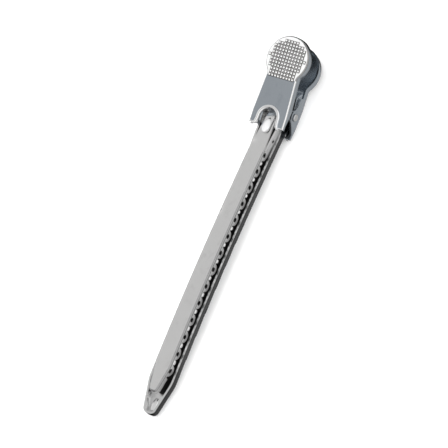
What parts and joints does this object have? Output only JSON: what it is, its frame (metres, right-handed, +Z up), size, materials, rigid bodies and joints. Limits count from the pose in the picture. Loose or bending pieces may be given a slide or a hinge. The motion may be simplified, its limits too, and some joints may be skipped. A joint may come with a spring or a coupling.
{
  "type": "alligator hair clip",
  "caption": "Long sprung sectioning hair clip of polished sheet steel: toothed upper jaw, plain lower jaw, knurled keyhole thumb plates, hinge pin and leaf spring.",
  "frame": {"origin": "centre of the bounding box on the plane the clip rests on, lower jaw down", "axes": "+X along the clip from the jaw tips to the thumb plates, +Y across it, +Z up"},
  "size_m": [0.096, 0.0114, 0.0109],
  "materials": {
    "jaw_steel": "polished nickel plate",
    "plate_steel": "polished nickel plate, knurled head",
    "spring_steel": "bright spring strip",
    "pin_steel": "bright wire, peened ends"
  },
  "bodies": {
    "lower_arm": {"lower_jaw": "jaw_steel", "lower_thumb_plate": "plate_steel", "hinge_pin": "pin_steel", "leaf_spring": "spring_steel"},
    "upper_arm": {"upper_jaw": "jaw_steel", "upper_thumb_plate": "plate_steel"}
  },
  "joints": [
    {"name": "jaw_hinge", "type": "hinge", "parent": "lower_arm", "child": "upper_arm", "pos_m": [0.03047, 0, 0.00306], "axis": [0, 1, 0], "range_deg": [0, 15], "stiffness_Nm_per_rad": 0.12, "springref_deg": -20.05, "deforming": ["leaf_spring"]}
  ]
}
